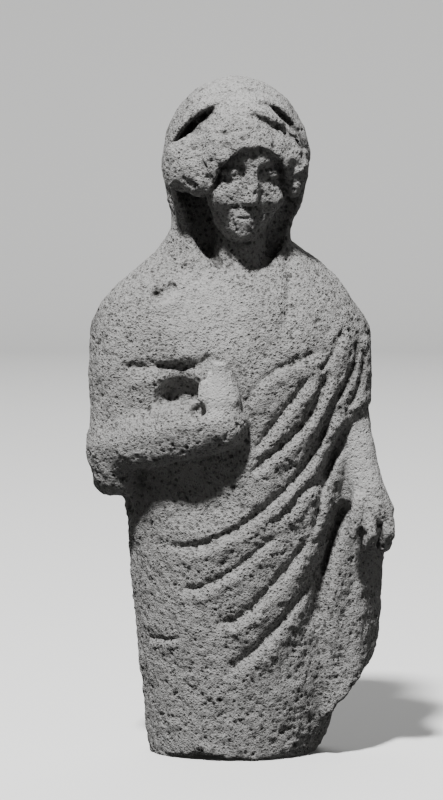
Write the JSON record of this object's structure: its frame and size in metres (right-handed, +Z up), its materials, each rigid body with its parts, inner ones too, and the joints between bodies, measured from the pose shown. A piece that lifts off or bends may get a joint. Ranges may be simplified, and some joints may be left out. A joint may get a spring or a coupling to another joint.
{
  "type": "limestone statuette",
  "caption": "Broken-off limestone statuette of a standing figure in a cloak drawn over the head, one arm across the chest and the other hand at the hip.",
  "frame": {"origin": "middle of the figure's box, on the flat underside that it stands on", "axes": "+Z up from the base to the crown; the figure faces -Y; +X is towards the figure's left hand"},
  "size_m": [0.2034, 0.1205, 0.4503],
  "materials": {
    "limestone": "weathered, pitted, matt"
  },
  "bodies": {
    "root": {"limestone_figure": "limestone"}
  },
  "joints": []
}
